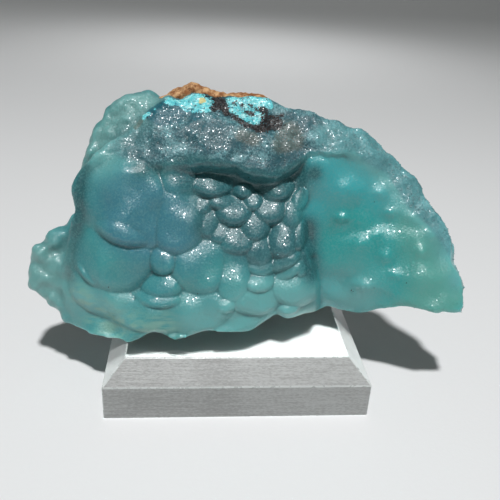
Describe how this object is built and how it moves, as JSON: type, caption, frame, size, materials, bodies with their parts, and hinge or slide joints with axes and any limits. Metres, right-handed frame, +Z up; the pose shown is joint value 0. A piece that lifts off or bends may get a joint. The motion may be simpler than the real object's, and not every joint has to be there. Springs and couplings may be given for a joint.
{
  "type": "botryoidal smithsonite specimen on a clear display base",
  "caption": "Blue-green botryoidal smithsonite specimen with brown limonite matrix, standing on a clear bevelled acrylic display base.",
  "frame": {"origin": "middle of the display base's underside", "axes": "+Z up, +X along the base's width and the stone's length, the stone's botryoidal face looks along -Y"},
  "size_m": [0.1097, 0.0498, 0.0706],
  "materials": {
    "smithsonite": "waxy to drusy translucent blue-green carbonate, paler and glossier on thin edges and summits",
    "limonite": "dull porous ochre-brown iron oxide",
    "clear_acrylic": "clear cast acrylic, polished top and ends, fine sawn front and back"
  },
  "bodies": {
    "root": {"smithsonite": "smithsonite", "limonite_matrix": "limonite", "display_base": "clear_acrylic"}
  },
  "joints": []
}
